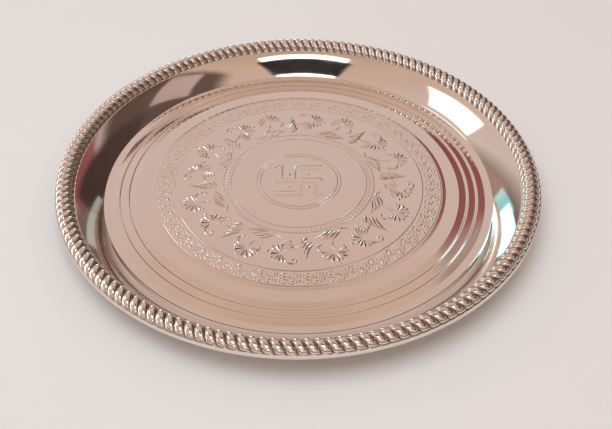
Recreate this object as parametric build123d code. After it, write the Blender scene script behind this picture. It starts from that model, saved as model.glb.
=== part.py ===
from build123d import *
import math
import os

# Puja thali: a round offering plate of pressed sheet with a rope border. Millimetres, +Z up.
# The origin is the middle of the plate, on the surface that it stands on. The dish stands on a
# flat ring at the foot of its wall, and the half-round border is seated on the dish's flat lip.

# Overall
outer_diameter = 254.0  # over the border
rim_height = 17.6  # top of the border above the standing ring

# Rope border
rope_diameter = 9.6  # over the crests of the strands
rope_flat = 0.4  # flat underside, below the middle of the rope
flute_depth = 0.8  # from a strand's crest to the valley beside it
strand_pitch = 4.8  # along the rope
strand_lean = 20.0  # degrees off square across the rope
strand_end = 23.0  # degrees above level, where the flutes run out on the outer side
seat_gap = 0.1  # solder gap between the border and the lip

# Dish
sheet = 0.8
lip_width = 8.7  # flat lip under the border
lip_inset = 0.7  # from the border's outer edge in to the lip's
wall_run = 13.2  # from the foot of the wall out to the lip
wall_bow = 0.55  # how far the flared wall bows up from straight
gutter_width = 3.9  # flat standing ring inside the foot of the wall
ripple_count = 3  # pressed rings around the floor
ripple_pitch = 4.9
ripple_fall_width = 3.6  # the slope of a ring, which faces outwards
ripple_fall = 0.4
ripple_return = 0.22  # rise from the foot of one slope to the next ring
plain_width = 7.3  # plain floor between the rings and the ornamented field
field_bevel = 1.8  # sloping edge of the ornamented field
field_step = 0.35  # field above the plain floor

# A strand's form: its shoulders on the pitch, and its corners over the rope in degrees above level
strand_shoulders = (0.3, 0.7)
strand_corners = (150, 120, 90, 58)

rope_radius = rope_diameter / 2
valley_radius = rope_radius - flute_depth
ring_radius = outer_diameter / 2 - rope_radius
rope_middle = rim_height - rope_radius
border_edge = math.sqrt(rope_radius**2 - rope_flat**2)
lip_edge = Vector(ring_radius + border_edge - lip_inset, rope_middle - rope_flat - seat_gap)
lip_root = lip_edge - Vector(lip_width, 0)
floor_radius = lip_root.X - wall_run


def floor_points():
    """Upper side of the floor as radius and height, built inwards from the foot of the wall."""
    points = [Vector(floor_radius, sheet), Vector(floor_radius - gutter_width, sheet)]
    for ring in range(ripple_count):
        crest = points[-1] + Vector(-ripple_fall_width, ripple_fall)
        points.append(crest)
        if ring < ripple_count - 1:
            points.append(crest + Vector(ripple_fall_width - ripple_pitch, -ripple_return))
    points.append(points[-1] + Vector(-plain_width, 0))
    points.append(points[-1] + Vector(-field_bevel, field_step))
    points.append(Vector(0, points[-1].Y))
    return points[::-1]


def under(corner, bend=0.0):
    """Lower side of the sheet below a corner where it bends by so many degrees."""
    return corner + Vector(math.tan(math.radians(bend / 2)), -1) * sheet


def make_dish():
    """Pressed sheet: floor with its rings, flared wall, and the flat lip that carries the border."""
    floor = floor_points()
    foot = floor[-1]
    across = (lip_root - foot).normalized()
    outward = Vector(across.Y, -across.X)
    bowed = (foot + lip_root) / 2 - outward * wall_bow
    wall = ThreePointArc(foot, bowed, lip_root)
    level = Vector(1, 0)
    foot_under = under(foot, level.get_angle(wall % 0))
    root_under = under(lip_root, level.get_angle(wall % 1))
    floor_under = [under(point) for point in floor[:-1]] + [foot_under]

    upper = [Polyline(*floor), wall, Line(lip_root, lip_edge)]
    lower = [
        Polyline(*floor_under),
        ThreePointArc(foot_under, bowed + outward * sheet, root_under),
        Line(root_under, under(lip_edge)),
    ]
    ends = [Line(floor[0], floor_under[0]), Line(lip_edge, under(lip_edge))]
    section = make_face(upper + lower + ends)
    return revolve(Plane.XZ * section, Axis.Z)


def border_wire(turn, strand_radius):
    """One section of the border, leaning along a strand, at a turn around the plate in radians."""

    def on_rope(radius, angle):
        reach = ring_radius + radius * math.cos(angle)
        lean = radius * (math.pi / 2 - angle) * math.tan(math.radians(strand_lean))
        around = turn + lean / ring_radius
        height = rope_middle + radius * math.sin(angle)
        return (reach * math.cos(around), reach * math.sin(around), height)

    corners = [on_rope(strand_radius, math.pi + math.asin(rope_flat / strand_radius))]
    for angle in strand_corners:
        corners.append(on_rope(strand_radius, math.radians(angle)))
    corners.append(on_rope(rope_radius, math.radians(strand_end)))
    corners.append(on_rope(rope_radius, -math.asin(rope_flat / rope_radius)))
    return Wire.make_polygon(corners)


def make_rope_border():
    """Half-round rope of leaning strands, lofted through its sections all round the plate."""
    strand_count = round(2 * math.pi * ring_radius / strand_pitch)
    strand_turn = 2 * math.pi / strand_count
    wires = []
    for strand in range(strand_count):
        wires.append(border_wire(strand * strand_turn, valley_radius))
        for shoulder in strand_shoulders:
            wires.append(border_wire((strand + shoulder) * strand_turn, rope_radius))
    return Solid.make_loft(wires + wires[:1], ruled=True)


os.makedirs("parts", exist_ok=True)
export_step(make_dish(), "parts/dish.step")
export_step(make_rope_border(), "parts/rope_border.step")
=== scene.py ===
import math

import bmesh
import bpy
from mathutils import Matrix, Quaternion, Vector


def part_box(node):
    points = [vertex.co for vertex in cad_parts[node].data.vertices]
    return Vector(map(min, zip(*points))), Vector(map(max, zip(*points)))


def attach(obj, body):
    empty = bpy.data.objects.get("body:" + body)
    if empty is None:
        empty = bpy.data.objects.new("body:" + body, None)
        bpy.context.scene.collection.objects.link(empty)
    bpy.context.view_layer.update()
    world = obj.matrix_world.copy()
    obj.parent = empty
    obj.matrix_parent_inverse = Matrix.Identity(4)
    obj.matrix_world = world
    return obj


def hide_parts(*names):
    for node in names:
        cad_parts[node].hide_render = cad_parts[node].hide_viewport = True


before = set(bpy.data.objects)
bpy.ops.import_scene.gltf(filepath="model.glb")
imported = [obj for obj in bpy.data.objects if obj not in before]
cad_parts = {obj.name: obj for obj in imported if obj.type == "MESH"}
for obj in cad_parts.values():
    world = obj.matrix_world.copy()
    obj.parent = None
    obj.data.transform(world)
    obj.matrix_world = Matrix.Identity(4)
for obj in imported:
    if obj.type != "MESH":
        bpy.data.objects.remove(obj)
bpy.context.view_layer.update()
scene = bpy.context.scene
mm = 0.001
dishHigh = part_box("dish")[1] / mm
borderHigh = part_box("rope_border")[1] / mm


# Small tools for meshes

meshCare = {
    "joinWithin": 0.002,  # doubles closer than this become one point
    "thinnest": 0.001,  # faces thinner than this go
    "onAxis": 1e-6,  # a profile's point within this radius is on the axis
}


def newPiece(name, vertices, faces=(), edges=(), attributes=None):
    mesh = bpy.data.meshes.new(name)
    mesh.from_pydata([Vector(v) * mm for v in vertices], edges, faces)
    for label, values in (attributes or {}).items():
        mesh.attributes.new(label, "FLOAT", "POINT").data.foreach_set("value", values)
    piece = bpy.data.objects.new(name, mesh)
    scene.collection.objects.link(piece)
    return piece


def tidyMesh(piece, sharpFrom):
    # merge doubles, turn the faces outwards and shade smooth up to an angle
    shape = bmesh.new()
    shape.from_mesh(piece.data)
    bmesh.ops.remove_doubles(shape, verts=shape.verts, dist=meshCare["joinWithin"] * mm)
    bmesh.ops.dissolve_degenerate(shape, edges=shape.edges, dist=meshCare["thinnest"] * mm)
    bmesh.ops.recalc_face_normals(shape, faces=shape.faces)
    shape.to_mesh(piece.data)
    shape.free()
    piece.data.shade_smooth()
    piece.data.set_sharp_from_angle(angle=math.radians(sharpFrom))
    piece.data.calc_loop_triangles()
    print(piece.name, len(piece.data.loop_triangles), "triangles")


# Small tools for node trees

def addNode(tree, kind, inputs=None, **settings):
    node = tree.nodes.new(kind)
    for label, value in settings.items():
        setattr(node, label, value)
    for label, value in (inputs or {}).items():
        socket = node.inputs[label]
        if isinstance(value, bpy.types.NodeSocket):
            tree.links.new(value, socket)
        else:
            socket.default_value = value
    return node


def addMath(tree, operation, first, second=0.0):
    return addNode(tree, "ShaderNodeMath", {0: first, 1: second}, operation=operation).outputs[0]


def newTree(name, sizes):
    tree = bpy.data.node_groups.new(name, "GeometryNodeTree")
    tree.interface.new_socket("Geometry", in_out="OUTPUT", socket_type="NodeSocketGeometry")
    tree.interface.new_socket("Geometry", in_out="INPUT", socket_type="NodeSocketGeometry")
    for label, kind in sizes.items():
        tree.interface.new_socket(label, in_out="INPUT", socket_type=kind)
    return tree, tree.nodes.new("NodeGroupInput").outputs


def repeatAround(tree, shape, count, material):
    # copies of a shape turned about the plate's middle, made real and given their material
    points = addNode(tree, "GeometryNodePoints", {"Count": count})
    index = addNode(tree, "GeometryNodeInputIndex").outputs[0]
    step = addMath(tree, "DIVIDE", 2 * math.pi, count)
    turn = addNode(tree, "ShaderNodeCombineXYZ", {"Z": addMath(tree, "MULTIPLY", index, step)})
    copies = addNode(tree, "GeometryNodeInstanceOnPoints",
                     {"Points": points.outputs[0], "Instance": shape, "Rotation": turn.outputs[0]})
    real = addNode(tree, "GeometryNodeRealizeInstances", {"Geometry": copies.outputs[0]})
    finished = addNode(tree, "GeometryNodeSetMaterial",
                       {"Geometry": real.outputs[0], "Material": material})
    addNode(tree, "NodeGroupOutput", {"Geometry": finished.outputs[0]})


def growPiece(piece, tree, sizes):
    # run the tree on the piece and keep the result as a plain mesh
    modifier = piece.modifiers.new(tree.name, "NODES")
    modifier.node_group = tree
    for item in tree.interface.items_tree:
        if item.in_out == "INPUT" and item.name in sizes:
            modifier[item.identifier] = sizes[item.name]
    evaluated = piece.evaluated_get(bpy.context.evaluated_depsgraph_get())
    grown = bpy.data.meshes.new_from_object(evaluated)
    piece.modifiers.clear()
    piece.data = grown


# Polished metal

sheetFinish = {
    "silver": (0.88, 0.83, 0.79, 1),
    "shade": (0.82, 0.76, 0.71, 1),
    "roughness": (0.045, 0.10),
    "smudgeScale": 38.0,
    "smudgeDetail": 4.0,
    "smudgeRange": (0.35, 0.7),  # of the noise, from clear to hazy
    "waveScale": 22.0,
    "waveDetail": 2.0,
    "waveStrength": 0.05,
    "waveHeight": 0.4,
}
borderFinish = {
    "silver": (0.88, 0.83, 0.79, 1),
    "shade": (0.78, 0.71, 0.65, 1),
    "roughness": (0.13, 0.20),
    "smudgeScale": 60.0,
    "smudgeDetail": 4.0,
    "smudgeRange": (0.35, 0.7),
    "waveScale": 90.0,
    "waveDetail": 2.0,
    "waveStrength": 0.03,
    "waveHeight": 0.4,
    "valleyPaintedShade": (0.22, 0.14, 0.11, 1),  # painted shade in the valleys between the strands
}


def polishedMetal(name, look):
    material = bpy.data.materials.new(name)
    material.use_nodes = True
    tree = material.node_tree
    shader = tree.nodes["Principled BSDF"]
    shader.inputs["Metallic"].default_value = 1.0
    place = addNode(tree, "ShaderNodeTexCoord").outputs["Object"]
    smudge = addNode(tree, "ShaderNodeTexNoise", {
        "Vector": place, "Scale": look["smudgeScale"], "Detail": look["smudgeDetail"]}).outputs["Fac"]
    clear, hazy = look["smudgeRange"]
    low, high = look["roughness"]
    haze = addNode(tree, "ShaderNodeMapRange",
                   {"Value": smudge, "From Min": clear, "From Max": hazy, "To Min": low, "To Max": high})
    tree.links.new(haze.outputs[0], shader.inputs["Roughness"])
    tint = addNode(tree, "ShaderNodeMix",
                   {"Factor": smudge, 6: look["silver"], 7: look["shade"]}, data_type="RGBA").outputs[2]
    if "valleyPaintedShade" in look:
        # the valley attribute mixes painted shade into the colour where the rope dips between strands
        valley = addNode(tree, "ShaderNodeAttribute", attribute_name="valley").outputs["Fac"]
        tint = addNode(tree, "ShaderNodeMix",
                       {"Factor": valley, 6: tint, 7: look["valleyPaintedShade"]}, data_type="RGBA").outputs[2]
    tree.links.new(tint, shader.inputs["Base Color"])
    wave = addNode(tree, "ShaderNodeTexNoise", {
        "Vector": place, "Scale": look["waveScale"], "Detail": look["waveDetail"]}).outputs["Fac"]
    ripple = addNode(tree, "ShaderNodeBump", {
        "Height": wave, "Strength": look["waveStrength"], "Distance": look["waveHeight"] * mm})
    tree.links.new(ripple.outputs[0], shader.inputs["Normal"])
    return material


polishedSheet = polishedMetal("polishedSheet", sheetFinish)
polishedBorder = polishedMetal("polishedBorder", borderFinish)
print("finishes ready")


# Dish: pressed sheet turned about its middle

dishForm = {
    "segments": 256,
    "sheet": 0.8,
    "lipWidth": 8.7,
    "wallRun": 13.2,  # from the foot of the wall out to the lip
    "wallBow": 0.55,
    "wallSteps": 10,
    "gutterWidth": 3.9,  # standing ring inside the foot of the wall
    "rippleCount": 3,
    "ripplePitch": 4.9,
    "rippleFallWidth": 3.9,
    "rippleFall": 0.65,
    "rippleReturn": 0.58,
    "plainWidth": 7.0,
    "fieldBevel": 1.8,
    "fieldStep": 0.35,
    "footRound": 1.3,
    "lipRound": 1.8,
    "crestRound": 5.0,
    "returnRound": 1.15,
    "bevelRound": 3.0,
    "roundLead": 0.06,  # short straight beside each rounding
    "lineFoot": 1.2,  # half widths from the middle of a raised line to the flat beside it
    "edgeStart": 1.3,  # half widths from the last raised line to where the field's edge begins
    "upperSteps": (8, 5),  # across a raised line and around a rounding, on the upper side
    "lowerSteps": (4, 3),
    "edgeSteps": 6,  # around the lip's outer edge
    "squareFrom": 2.5,  # inside the wall's foot, where the underside turns square to the sheet
    "sharpFrom": 60,
}
fieldRings = [  # radius, half width and height of the raised lines on the floor
    (21.0, 0.50, 0.16),
    (22.9, 0.45, 0.13),
    (28.3, 1.6, 0.03),
    (36.9, 0.42, 0.13),
    (40.9, 0.42, 0.13),
    (67.2, 0.45, 0.14),
    (77.1, 0.40, 0.12),
]


def roundedLine(corners, steps, lead):
    # a line through corners of radius, height and rounding
    points = [Vector(corners[0][:2])]
    for before, corner, after in zip(corners, corners[1:], corners[2:]):
        here = Vector(corner[:2])
        back = (Vector(before[:2]) - here).normalized()
        onward = (Vector(after[:2]) - here).normalized()
        if corner[2] == 0:
            points.append(here)
            continue
        reach = corner[2] * math.tan((math.pi - back.angle(onward)) / 2)
        points.append(here + back * (reach + lead))
        for step in range(steps + 1):
            t = step / steps
            points.append(here + back * reach * (1 - t) ** 2 + onward * reach * t ** 2)
        points.append(here + onward * (reach + lead))
    points.append(Vector(corners[-1][:2]))
    return points


def dishCorners(form):
    # corners of the upper side, built inwards from the lip and given from the field out
    sheet = form["sheet"]
    lipEdge = Vector((dishHigh.x, dishHigh.z))
    lipRoot = lipEdge - Vector((form["lipWidth"], 0))
    foot = Vector((lipRoot.x - form["wallRun"], sheet))
    across = (lipRoot - foot).normalized()
    upward = Vector((-across.y, across.x))
    corners = [(*lipEdge, 0), (*lipRoot, form["lipRound"])]
    for step in range(form["wallSteps"] - 1, 0, -1):
        t = step / form["wallSteps"]
        corners.append((*(foot.lerp(lipRoot, t) + upward * form["wallBow"] * 4 * t * (1 - t)), 0))
    corners.append((*foot, form["footRound"]))
    corners.append((foot.x - form["gutterWidth"], sheet, form["returnRound"]))
    inward = form["ripplePitch"] - form["rippleFallWidth"]
    for ring in range(form["rippleCount"]):
        lastRing = ring == form["rippleCount"] - 1
        radius, height, _ = corners[-1]
        crest = (radius - form["rippleFallWidth"], height + form["rippleFall"])
        corners.append((*crest, form["crestRound"] if lastRing else form["returnRound"]))
        if not lastRing:
            corners.append((crest[0] - inward, crest[1] - form["rippleReturn"], form["returnRound"]))
    radius, height, _ = corners[-1]
    corners.append((radius - form["plainWidth"], height, form["bevelRound"]))
    field = (radius - form["plainWidth"] - form["fieldBevel"], height + form["fieldStep"])
    corners.append((*field, form["bevelRound"]))
    lastLine, halfWidth, _ = fieldRings[-1]
    corners.append((lastLine + form["edgeStart"] * halfWidth, field[1], 0))
    return corners[::-1]


def ringPoints(height, steps, lineFoot):
    # the flat field from its middle out, with a bell-shaped ridge at each ring
    points = [Vector((0, height))]
    for radius, halfWidth, rise in fieldRings:
        points.append(Vector((radius - lineFoot * halfWidth, height)))
        for step in range(steps + 1):
            across = 2 * step / steps - 1
            bell = math.cos(across * math.pi / 2) ** 2
            points.append(Vector((radius + across * halfWidth, height + rise * bell)))
        points.append(Vector((radius + lineFoot * halfWidth, height)))
    return points


def underSide(points, sheet, straightTo):
    # the sheet's lower face: straight below the floor, square to the wall and lip
    lower = []
    for index, point in enumerate(points):
        before = points[max(index - 1, 0)]
        after = points[min(index + 1, len(points) - 1)]
        along = (after - before).normalized()
        down = Vector((along.y, -along.x)) if point.x > straightTo else Vector((0, -1))
        lower.append(point + down * sheet)
    return lower


def latheRing(profile, segments):
    # rows of vertices about the Z axis, with one vertex where the profile meets the axis
    vertices = []
    rows = []
    for point in profile:
        count = 1 if point.x < meshCare["onAxis"] else segments
        row = []
        for segment in range(count):
            turn = 2 * math.pi * segment / segments
            row.append(len(vertices))
            vertices.append((point.x * math.cos(turn), point.x * math.sin(turn), point.y))
        rows.append(row)
    faces = []
    for here, there in zip(rows, rows[1:]):
        for segment in range(segments):
            following = (segment + 1) % segments
            quad = [here[segment % len(here)], there[segment % len(there)],
                    there[following % len(there)], here[following % len(here)]]
            faces.append(list(dict.fromkeys(quad)))
    return vertices, faces


def makeDish(form):
    corners = dishCorners(form)
    fieldTop = corners[0][1]

    def upperSide(lineSteps, roundSteps):
        floor = ringPoints(fieldTop, lineSteps, form["lineFoot"])
        return floor + roundedLine(corners, roundSteps, form["roundLead"])

    upper = upperSide(*form["upperSteps"])
    footRadius = dishHigh.x - form["lipWidth"] - form["wallRun"]
    lower = underSide(upperSide(*form["lowerSteps"]), form["sheet"], footRadius - form["squareFrom"])
    edge = []
    middle = (upper[-1] + lower[-1]) / 2
    for step in range(1, form["edgeSteps"]):
        turn = math.pi / 2 - math.pi * step / form["edgeSteps"]
        edge.append(middle + Vector((math.cos(turn) - 1, math.sin(turn))) * form["sheet"] / 2)
    upper[-1] = upper[-1] - Vector((form["sheet"] / 2, 0))
    lower[-1] = lower[-1] - Vector((form["sheet"] / 2, 0))
    vertices, faces = latheRing(upper + edge + lower[::-1], form["segments"])
    piece = newPiece("pressedDish", vertices, faces)
    tidyMesh(piece, form["sharpFrom"])
    piece.data.materials.append(polishedSheet)
    return piece


dish = makeDish(dishForm)
fieldHeight = dishCorners(dishForm)[0][1]


# Pressed ornament: strokes with a bell-shaped section, repeated around the plate

ornamentForm = {
    "sprigs": 8,
    "scrolls": 40,
    "ticks": 98,
    "sprigHeight": 0.46,  # heights of the strokes, in half widths
    "veinHeight": 0.34,
    "bodyHeight": 0.14,
    "scrollHeight": 0.34,
    "beadHeight": 0.46,
    "tickHeight": 0.22,
    "sink": 0.03,  # of a stroke into the floor, in half widths
    "stations": 9,  # along a stroke
    "sectionPoints": 7,  # across a stroke
    "sharpFrom": 50,
}


def onPlate(turn, radius):
    return radius * math.cos(math.radians(turn)), radius * math.sin(math.radians(turn))


def stroke(points, halfWidth, ends=0.12, lift=0.0):
    # a line of turns in degrees and radii, drawn at full width between narrow ends on the floor
    last = len(points) - 1
    line = []
    for index, point in enumerate(points):
        end = index in (0, last)
        line.append((*onPlate(*point), 0.0 if end else lift, halfWidth * (ends if end else 1)))
    return line


def lobe(middle, direction, start, length, halfWidth, bend=0.0):
    # a teardrop that leaves a middle at an angle, narrow at its root and round at its tip,
    # in shares of its length and half width
    shape = ((0.0, 0.30), (0.3, 0.62), (0.6, 0.95), (0.8, 1.0), (0.94, 0.72), (1.0, 0.15))
    line = []
    for t, width in shape:
        reach = start + (length - start) * t
        heading = math.radians(direction) + bend * t
        turn = middle[0] + math.degrees(reach * math.cos(heading) / middle[1])
        line.append((*onPlate(turn, middle[1] + reach * math.sin(heading)), 0.0, halfWidth * width))
    return line


def fan(middle, first, last, count, start, length, halfWidth, bend=0.0):
    return [lobe(middle, first + (last - first) * index / (count - 1), start, length, halfWidth, bend)
            for index in range(count)]


def ridges(firstGuide, lastGuide, count, halfWidth, lift=0.0):
    # strokes side by side between two guides, as the veins of a leaf
    lines = []
    for index in range(count):
        share = index / (count - 1)
        points = [(a[0] + (b[0] - a[0]) * share, a[1] + (b[1] - a[1]) * share)
                  for a, b in zip(firstGuide, lastGuide)]
        lines.append(stroke(points, halfWidth, lift=lift))
    return lines


def dot(turn, radius, size):
    # a round bead, in shares of its size along and across
    across = math.degrees(size / radius)
    shape = ((-1.0, 0.1), (-0.8, 0.62), (-0.4, 0.92), (0.0, 1.0), (0.4, 0.92), (0.8, 0.62), (1.0, 0.1))
    return [(*onPlate(turn + across * t, radius), 0.0, size * width) for t, width in shape]


def sprigStrokes():
    # a palmette with its curl and stem, and an open flower with its tendril, small leaf and buds
    palmette = (18.25, 57.2)
    flower = (36.4, 55.6)
    lines = fan(palmette, first=172, last=-4, count=8, start=1.5, length=6.9, halfWidth=0.92, bend=-0.08)
    lines += [dot(18.2, 65.3, 0.6), dot(24.0, 55.0, 0.85)]
    lines.append(stroke(((16.6, 56.0), (13.1, 56.5), (10.8, 54.5), (10.3, 51.9), (12.0, 50.1)), 0.62))
    lines.append(dot(11.9, 50.9, 0.9))
    lines.append(stroke(((18.7, 56.2), (18.6, 53.2), (19.5, 50.6), (21.5, 48.4)), 0.42))
    lines += fan(flower, first=176, last=84, count=5, start=1.4, length=6.4, halfWidth=0.95, bend=-0.1)
    lines += fan(flower, first=200, last=254, count=3, start=1.6, length=6.6, halfWidth=0.95, bend=0.1)
    lines.append(stroke(((37.2, 57.4), (38.9, 61.3), (41.6, 62.4), (44.0, 60.9), (43.4, 58.8)), 0.6))
    lines += [dot(42.0, 59.6, 0.85), dot(39.6, 47.0, 0.75), dot(28.7, 55.4, 0.95), dot(30.4, 51.8, 0.7)]
    lines.append(stroke(((38.2, 54.6), (41.5, 52.4), (45.0, 51.0), (48.6, 49.4)), 0.5))
    lines += ridges(((35.0, 51.6), (36.0, 49.2), (38.0, 47.2), (41.0, 46.4)),
                    ((37.2, 53.4), (39.0, 52.0), (41.0, 51.2), (43.2, 51.6)),
                    count=4, halfWidth=0.52)
    lines.append(stroke(((24.5, 42.6), (28.0, 42.6), (31.0, 43.6), (34.2, 45.6)), 0.5))
    return lines


def veinStrokes():
    # the ridges of the two large leaves
    tall = ridges(((3.5, 59.8), (4.0, 55.4), (5.6, 52.0), (8.7, 49.4)),
                  ((0.6, 48.4), (2.3, 46.8), (4.0, 45.5), (6.2, 44.7)),
                  count=4, halfWidth=0.95, lift=0.18)
    low = ridges(((19.5, 48.6), (22.5, 47.4), (26.0, 45.4), (29.4, 43.9)),
                 ((9.2, 46.0), (14.0, 44.9), (18.5, 43.0), (23.5, 42.0)),
                 count=4, halfWidth=0.72, lift=0.12)
    return tall + low


def leafBodies():
    # the swelling of the two large leaves under their veins, by turn, radius and half width
    tall = ((3.4, 59.0, 0.3), (3.9, 54.5, 1.5), (4.4, 50.5, 2.6), (5.6, 47.0, 2.4), (6.8, 44.9, 0.9))
    low = ((10.5, 45.8, 0.4), (15.0, 45.4, 1.5), (20.0, 45.0, 2.0), (25.0, 43.9, 1.5), (28.6, 43.0, 0.4))
    return [[(*onPlate(turn, radius), 0.0, halfWidth) for turn, radius, halfWidth in leaf]
            for leaf in (tall, low)]


def scrollStrokes():
    # a curl and a leaf turned both ways about the middle of the repeat
    middle = (4.9, 72.4)
    curl = ((5.6, 73.2), (3.4, 73.0), (1.6, 71.6), (2.0, 69.6), (4.0, 69.0), (4.9, 70.3))
    leaf = ((0.2, 75.3), (0.4, 73.6), (1.5, 72.0))
    lines = []
    for line, halfWidth in ((curl, 0.42), (leaf, 0.5)):
        turned = [(2 * middle[0] - turn, 2 * middle[1] - radius) for turn, radius in line]
        lines += [stroke(line, halfWidth), stroke(turned, halfWidth)]
    return lines


def beadDots():
    # turn, radius and size of the round beads in the curls of the scroll band
    places = ((3.2, 75.5, 0.72), (3.2, 71.0, 0.85), (6.7, 73.8, 0.78), (6.5, 71.4, 0.55), (5.2, 75.2, 0.4),
              (8.3, 69.4, 0.6), (1.6, 74.4, 0.5), (8.2, 70.9, 0.5), (4.3, 74.5, 0.5), (5.5, 70.3, 0.5),
              (0.4, 69.2, 0.5), (0.3, 71.2, 0.45), (8.9, 73.5, 0.45), (7.0, 69.0, 0.5), (1.9, 76.0, 0.4))
    return [dot(*place) for place in places]


def tickStrokes():
    # one short bar of the ring around the middle
    return [stroke(((0, 37.8), (0, 38.4), (0, 39.4), (0, 40.0)), halfWidth=0.62, ends=0.4)]


def strokeTree(material):
    # strokes swept along the mesh lines at their own width, then repeated
    tree, given = newTree("pressedStrokes", {
        "Copies": "NodeSocketInt", "Stations": "NodeSocketInt", "Section Points": "NodeSocketInt",
        "Height": "NodeSocketFloat", "Sink": "NodeSocketFloat"})
    index = addNode(tree, "GeometryNodeInputIndex").outputs[0]
    gaps = addMath(tree, "SUBTRACT", given["Section Points"], 1.0)
    share = addMath(tree, "DIVIDE", addMath(tree, "MULTIPLY", index, 2.0), gaps)
    across = addMath(tree, "SUBTRACT", share, 1.0)
    swing = addMath(tree, "COSINE", addMath(tree, "MULTIPLY", across, math.pi))
    bell = addMath(tree, "ADD", addMath(tree, "MULTIPLY", swing, 0.5), 0.5)
    rise = addMath(tree, "SUBTRACT", given["Sink"], addMath(tree, "MULTIPLY", bell, given["Height"]))
    place = addNode(tree, "ShaderNodeCombineXYZ", {"X": across, "Y": rise})
    line = addNode(tree, "GeometryNodeMeshLine", {"Count": given["Section Points"]})
    bent = addNode(tree, "GeometryNodeSetPosition",
                   {"Geometry": line.outputs[0], "Position": place.outputs[0]})
    section = addNode(tree, "GeometryNodeMeshToCurve", {"Mesh": bent.outputs[0]})
    closed = addNode(tree, "GeometryNodeSetSplineCyclic", {"Geometry": section.outputs[0], "Cyclic": True})
    path = addNode(tree, "GeometryNodeMeshToCurve", {"Mesh": given["Geometry"]})
    smooth = addNode(tree, "GeometryNodeCurveSplineType",
                     {"Curve": path.outputs[0]}, spline_type="CATMULL_ROM")
    even = addNode(tree, "GeometryNodeResampleCurve",
                   {"Curve": smooth.outputs[0], "Count": given["Stations"]})
    upright = addNode(tree, "GeometryNodeSetCurveNormal", {"Curve": even.outputs[0]}, mode="Z_UP")
    width = addNode(tree, "GeometryNodeInputNamedAttribute", {"Name": "halfWidth"}, data_type="FLOAT")
    swept = addNode(tree, "GeometryNodeCurveToMesh", {
        "Curve": upright.outputs[0], "Profile Curve": closed.outputs[0],
        "Scale": width.outputs[0], "Fill Caps": True})
    repeatAround(tree, swept.outputs[0], given["Copies"], material)
    return tree


def pressStrokes(name, lines, copies, height, tree, form):
    vertices, edges, widths = [], [], []
    for line in lines:
        first = len(vertices)
        for x, y, lift, halfWidth in line:
            vertices.append((x, y, fieldHeight + lift))
            widths.append(halfWidth * mm)
        edges += [(index, index + 1) for index in range(first, len(vertices) - 1)]
    piece = newPiece(name, vertices, edges=edges, attributes={"halfWidth": widths})
    growPiece(piece, tree, {"Copies": copies, "Height": height, "Stations": form["stations"],
                            "Section Points": form["sectionPoints"], "Sink": form["sink"]})
    tidyMesh(piece, form["sharpFrom"])
    return piece


# Sign in the middle: four bent arms with sloping sides, and a dot between them

signForm = {
    "arms": 4,
    "arm": 10.8,  # from the middle to the middle of a bent arm
    "reach": 12.4,  # from the middle to the end of a bent arm
    "halfWidth": 1.55,
    "flare": 0.3,
    "section": (  # out from the half width, and up from the field
        (0.58, -0.03), (0.52, 0.0), (0.0, 0.18), (-0.45, 0.325), (-0.8, 0.385), (-1.15, 0.40)),
    "dot": (45, 7.4, 0.95),  # turn, radius and size
    "dotHeight": 0.46,  # in half widths
    "sharpFrom": 50,
}


def signOutline(form, halfWidth):
    # the bent arms about the middle, at a half width of their bars
    arm, flare = form["arm"], form["flare"]
    end = form["reach"] + halfWidth - form["halfWidth"]
    quarter = [(halfWidth, halfWidth), (halfWidth, arm - halfWidth), (end, arm - halfWidth - flare),
               (end, arm + halfWidth + flare), (-halfWidth, arm + halfWidth)]
    corners = []
    for _ in range(form["arms"]):
        corners += quarter
        quarter = [(-y, x) for x, y in quarter]
    return corners


def makeSign(form):
    vertices, faces = [], []
    for out, rise in form["section"]:
        for x, y in signOutline(form, form["halfWidth"] + out):
            vertices.append((x, y, fieldHeight + rise))
    count = len(vertices) // len(form["section"])
    for ring in range(len(form["section"]) - 1):
        for corner in range(count):
            here, there = ring * count, (ring + 1) * count
            following = (corner + 1) % count
            faces.append((here + corner, here + following, there + following, there + corner))
    faces.append(list(range(count))[::-1])
    faces.append(list(range(len(vertices) - count, len(vertices))))
    piece = newPiece("middleSign", vertices, faces)
    tidyMesh(piece, form["sharpFrom"])
    piece.data.materials.append(polishedSheet)
    return piece


def makeOrnaments(form, sign):
    tree = strokeTree(polishedSheet)
    strokeSets = (  # name, lines, copies around the plate, and height
        ("floralSprigs", sprigStrokes(), form["sprigs"], form["sprigHeight"]),
        ("leafVeins", veinStrokes(), form["sprigs"], form["veinHeight"]),
        ("leafBodies", leafBodies(), form["sprigs"], form["bodyHeight"]),
        ("scrollBand", scrollStrokes(), form["scrolls"], form["scrollHeight"]),
        ("scrollBeads", beadDots(), form["scrolls"], form["beadHeight"]),
        ("beadRing", tickStrokes(), form["ticks"], form["tickHeight"]),
        ("signDots", [dot(*sign["dot"])], sign["arms"], sign["dotHeight"]),
    )
    pieces = [pressStrokes(*strokeSet, tree, form) for strokeSet in strokeSets]
    return pieces + [makeSign(sign)]


ornaments = makeOrnaments(ornamentForm, signForm)


# Rope border: one strand with its share of the band below, repeated into a closed ring

ropeForm = {
    "strands": 160,
    "seat": 0.5,  # from the lip up to the middle of the rope
    "lean": 20.0,  # degrees off square across the rope
    "flute": 1.05,  # depth of the valley between strands
    "roundness": 0.965,  # how steeply a strand falls to its valleys
    "strandEnd": 21.0,  # degrees above level, where the strands end in a groove over the plain band
    "endRound": 10.0,  # degrees over which a strand rounds off to its end
    "bandRound": 3.5,  # degrees over which the plain band rises from that groove
    "groove": 0.7,
    "columns": 8,
    "strandRows": 24,
    "bandRows": 8,
    "clearance": 0.03,
    "sharpFrom": 55,
}


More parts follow.
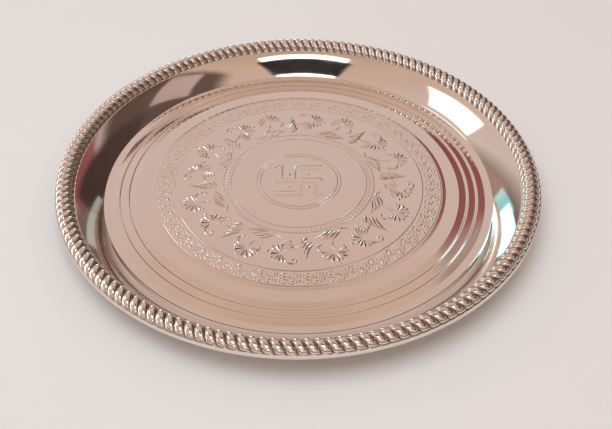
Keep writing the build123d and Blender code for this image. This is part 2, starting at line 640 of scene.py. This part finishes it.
def strandDepth(form, angle, across):
    # how far the surface lies below the crest, by the angle above level and the place across a strand
    floor = math.sqrt(1 - form["roundness"] ** 2)
    bell = (math.sqrt(1 - (form["roundness"] * across) ** 2) - floor) / (1 - floor)
    above = (math.degrees(angle) - form["strandEnd"]) / form["endRound"]
    run = min(max(above, 0.0), 1.0)
    below = (form["strandEnd"] - math.degrees(angle)) / form["bandRound"]
    end = math.cos(min(max(above, below), 1.0) * math.pi / 2) ** 2
    return form["flute"] * (1 - bell) * run * run * (3 - 2 * run) + form["groove"] * end


def ropeAngles(form, inner, outer):
    # from the inner edge over the strand to its end, and on down the plain band
    bandTop = math.radians(form["strandEnd"])
    strandRows, bandRows = form["strandRows"], form["bandRows"]
    strand = [inner + (bandTop - inner) * row / strandRows for row in range(strandRows + 1)]
    band = [bandTop + (outer - bandTop) * row / bandRows for row in range(1, bandRows + 1)]
    return strand + band


def makeRope(form):
    crest = borderHigh.z - dishHigh.z - form["seat"]
    ring = borderHigh.x - form["clearance"] - crest
    middle = borderHigh.z - crest
    step = math.pi / form["strands"]
    lean = crest * math.tan(math.radians(form["lean"])) / ring
    vertices, valleys = [], []
    for column in range(form["columns"] + 1):
        across = math.sin(math.pi / 2 * (2 * column / form["columns"] - 1))
        inner = math.pi + math.asin(form["seat"] / (crest - strandDepth(form, math.pi, across)))
        angles = ropeAngles(form, inner, -math.asin(form["seat"] / crest))
        for angle in angles:
            sunk = strandDepth(form, angle, across)
            turn = across * step + lean * (math.pi / 2 - angle)
            reach = ring + (crest - sunk) * math.cos(angle)
            height = middle + (crest - sunk) * math.sin(angle)
            vertices.append((reach * math.cos(turn), reach * math.sin(turn), height))
            # depth into the valley, which steers the painted shade between the strands
            valleys.append(min(sunk / form["flute"], 1.0) ** 2)
    count = len(angles)
    faces = []
    for column in range(form["columns"]):
        here, there = column * count, (column + 1) * count
        for row in range(count):
            following = (row + 1) % count
            faces.append((here + row, there + row, there + following, here + following))
    piece = newPiece("ropeBorder", vertices, faces, attributes={"valley": valleys})
    tree, given = newTree("ropeRing", {"Strands": "NodeSocketInt"})
    repeatAround(tree, given["Geometry"], given["Strands"], polishedBorder)
    growPiece(piece, tree, {"Strands": form["strands"]})
    tidyMesh(piece, form["sharpFrom"])
    return piece


ropeBorder = makeRope(ropeForm)


# Everything rides on the one body

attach(dish, "root")
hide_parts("dish")
for ornament in ornaments:
    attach(ornament, "root")
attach(ropeBorder, "root")
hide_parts("rope_border")
print("pieces ready")


# Stage in metres: pale floor, soft light and the cards that the polished metal mirrors

stageLook = {
    "floor": (0.82, 0.81, 0.80, 1),
    "floorRough": 0.9,
    "floorHalf": 3.0,
    "floorDrop": 0.00005,  # below the standing ring, so that the two don't flicker
    "dome": (  # colours of the soft light around by the sine of the height above level
        (0.0, (0.17, 0.115, 0.095, 1)),
        (0.24, (0.20, 0.135, 0.11, 1)),
        (0.45, (0.70, 0.57, 0.51, 1)),
        (0.65, (0.69, 0.535, 0.485, 1)),
        (0.80, (0.665, 0.48, 0.385, 1)),
        (0.90, (0.66, 0.46, 0.35, 1)),
        (1.0, (0.50, 0.36, 0.28, 1)),
    ),
}
plateMiddle = (0.0, 0.0, 0.0)
farFloor = (0.0, 0.11, 0.0)
cards = {  # size is width and height, and soft is the width of the faded edge
    "cameraFlag": {"place": (-0.017, -0.107, 0.44), "faces": farFloor, "size": (0.21, 0.165),
                   "soft": 0.006, "color": (0.012, 0.014, 0.018, 1)},
    "highScreen": {"place": (0.82, 1.60, 1.02), "faces": (0.0, 1.60, 1.02), "size": (1.40, 1.20),
                   "soft": 0.20, "color": (0.52, 0.185, 0.19, 1)},
    "lowScreen": {"place": (0.79, 1.10, 0.42), "faces": (0.0, 1.10, 0.42), "size": (1.80, 0.84),
                  "soft": 0.20, "color": (0.09, 0.06, 0.05, 1)},
    "nearScreen": {"place": (0.80, 0.175, 1.05), "faces": (0.0, 0.175, 1.05), "size": (1.75, 1.60),
                   "soft": 0.35, "color": (0.15, 0.10, 0.08, 1)},
    "paleCard": {"place": (0.75, 0.06, 1.13), "faces": (0.0, 0.06, 1.13), "size": (0.42, 0.72),
                 "soft": 0.04, "color": (0.66, 0.47, 0.41, 1)},
    "brownCard": {"place": (-0.66, 0.85, 0.23), "faces": plateMiddle, "size": (0.55, 0.33),
                  "soft": 0.10, "color": (0.62, 0.44, 0.36, 1)},
}
lamps = {  # roll turns a lamp about the line that it faces along, in degrees
    "fillLamp": {"place": (-0.3, -0.1, 1.5), "faces": plateMiddle, "size": (1.4, 1.4),
                 "power": 14.0, "color": (0.72, 0.90, 1.0), "fallsOn": "floor"},
    "keyLamp": {"place": (-0.03, -0.233, 0.674), "faces": farFloor, "size": (0.30, 0.39),
                "power": 0.9, "color": (1.0, 0.95, 0.88), "fallsOn": "metal"},
    "frontLamp": {"place": (0.0, -0.95, 0.72), "faces": plateMiddle, "size": (0.20, 0.14),
                  "power": 0.32, "color": (1.0, 0.93, 0.82), "fallsOn": "metal"},
    "leftLamp": {"place": (-0.9, 0.0, 0.15), "faces": plateMiddle, "size": (0.90, 0.16),
                 "power": 1.1, "color": (0.88, 0.97, 1.0), "fallsOn": "metal"},
    "windowLamp": {"place": (-1.35, 0.52, 1.32), "faces": (0.09, 0.06, 0.0), "size": (0.85, 0.58),
                   "roll": 33, "power": 2.2, "color": (1.0, 0.98, 0.94), "fallsOn": "metal"},
    "coolLamp": {"place": (-0.22, 0.92, 0.125), "faces": plateMiddle, "size": (0.24, 0.19),
                 "power": 0.48, "color": (0.44, 0.87, 0.96), "fallsOn": "metal"},
    "coolGlow": {"place": (-0.387, 0.912, 0.139), "faces": plateMiddle, "size": (0.21, 0.24),
                 "power": 0.11, "color": (0.18, 0.84, 0.88), "fallsOn": "metal"},
    "backLamp": {"place": (-1.07, 0.35, 0.18), "faces": plateMiddle, "size": (0.60, 0.24),
                 "power": 0.75, "color": (0.72, 0.94, 1.0), "fallsOn": "metal"},
    "paleLamp": {"place": (0.31, 0.93, 0.09), "faces": plateMiddle, "size": (0.34, 0.15),
                 "power": 0.06, "color": (0.88, 0.98, 0.92), "fallsOn": "metal"},
}
cameraView = {
    "sensor": 36.0,
    "focalPixels": 772,  # in a frame that is 612 pixels wide
    "framePixels": 612,
    "clipStart": 0.01,
    "place": (0.0, -0.3211, 0.2754),
    "turn": (47.07, -0.28, -0.48),  # degrees
}


def plainMaterial(name, color, rough):
    material = bpy.data.materials.new(name)
    material.use_nodes = True
    shader = material.node_tree.nodes["Principled BSDF"]
    shader.inputs["Base Color"].default_value = color
    shader.inputs["Roughness"].default_value = rough
    return material


def cardPaint(name, card):
    # flat paint that fades out towards the card's edges
    material = plainMaterial(name, card["color"], rough=1.0)
    tree = material.node_tree
    place = addNode(tree, "ShaderNodeTexCoord").outputs["Object"]
    across = addNode(tree, "ShaderNodeSeparateXYZ", {"Vector": place}).outputs
    shares = []
    for axis, size in zip("XY", card["size"]):
        inside = addMath(tree, "SUBTRACT", size / 2, addMath(tree, "ABSOLUTE", across[axis]))
        shares.append(addNode(tree, "ShaderNodeMapRange",
                              {"Value": inside, "From Min": 0.0, "From Max": card["soft"]},
                              interpolation_type="SMOOTHSTEP").outputs[0])
    cover = addMath(tree, "MULTIPLY", *shares)
    tree.links.new(cover, tree.nodes["Principled BSDF"].inputs["Alpha"])
    return material


def flatSheet(name, halfWidth, halfHeight, level=0.0):
    x, y, z = halfWidth / mm, halfHeight / mm, level / mm
    return newPiece(name, [(-x, -y, z), (x, -y, z), (x, y, z), (-x, y, z)], [(0, 1, 2, 3)])


def aimed(thing, place, target, roll=0):
    facing = (Vector(target) - Vector(place)).to_track_quat("-Z", "Y")
    thing.location = place
    thing.rotation_euler = (facing @ Quaternion((0, 0, 1), math.radians(roll))).to_euler()


def makeFloor(look):
    floor = flatSheet("paleFloor", look["floorHalf"], look["floorHalf"], -look["floorDrop"])
    floor.data.materials.append(plainMaterial("paleFloorPaint", look["floor"], look["floorRough"]))


def makeCard(name, card):
    width, height = card["size"]
    sheet = flatSheet(name, width / 2, height / 2)
    aimed(sheet, card["place"], card["faces"])
    sheet.data.materials.append(cardPaint(name + "Paint", card))
    sheet.visible_camera = False
    sheet.visible_diffuse = False
    sheet.visible_shadow = False


def makeLamp(name, lamp):
    light = bpy.data.lights.new(name, "AREA")
    light.shape = "RECTANGLE"
    light.size, light.size_y = lamp["size"]
    light.energy = lamp["power"]
    light.color = lamp["color"]
    holder = bpy.data.objects.new(name, light)
    scene.collection.objects.link(holder)
    aimed(holder, lamp["place"], lamp["faces"], lamp.get("roll", 0))
    holder.visible_camera = False
    holder.visible_diffuse = lamp["fallsOn"] == "floor"
    holder.visible_glossy = lamp["fallsOn"] == "metal"


def makeWorld(look):
    world = bpy.data.worlds.new("softRoom")
    scene.world = world
    world.use_nodes = True
    tree = world.node_tree
    direction = addNode(tree, "ShaderNodeTexCoord").outputs["Generated"]
    height = addNode(tree, "ShaderNodeSeparateXYZ", {"Vector": direction}).outputs["Z"]
    ramp = addNode(tree, "ShaderNodeValToRGB", {"Fac": height})
    stops = ramp.color_ramp.elements
    stops.remove(stops[1])
    stops[0].color = look["dome"][0][1]
    for position, color in look["dome"][1:]:
        stops.new(position).color = color
    tree.links.new(ramp.outputs[0], tree.nodes["Background"].inputs["Color"])


def makeCamera(view):
    camera = bpy.data.cameras.new("photoCamera")
    camera.sensor_width = view["sensor"]
    camera.lens = view["sensor"] * view["focalPixels"] / view["framePixels"]
    camera.clip_start = view["clipStart"]
    holder = bpy.data.objects.new("photoCamera", camera)
    scene.collection.objects.link(holder)
    holder.location = view["place"]
    holder.rotation_euler = [math.radians(angle) for angle in view["turn"]]
    scene.camera = holder


makeFloor(stageLook)
for name, card in cards.items():
    makeCard(name, card)
for name, lamp in lamps.items():
    makeLamp(name, lamp)
makeWorld(stageLook)
makeCamera(cameraView)
scene.view_settings.view_transform = "Standard"
print("stage ready")
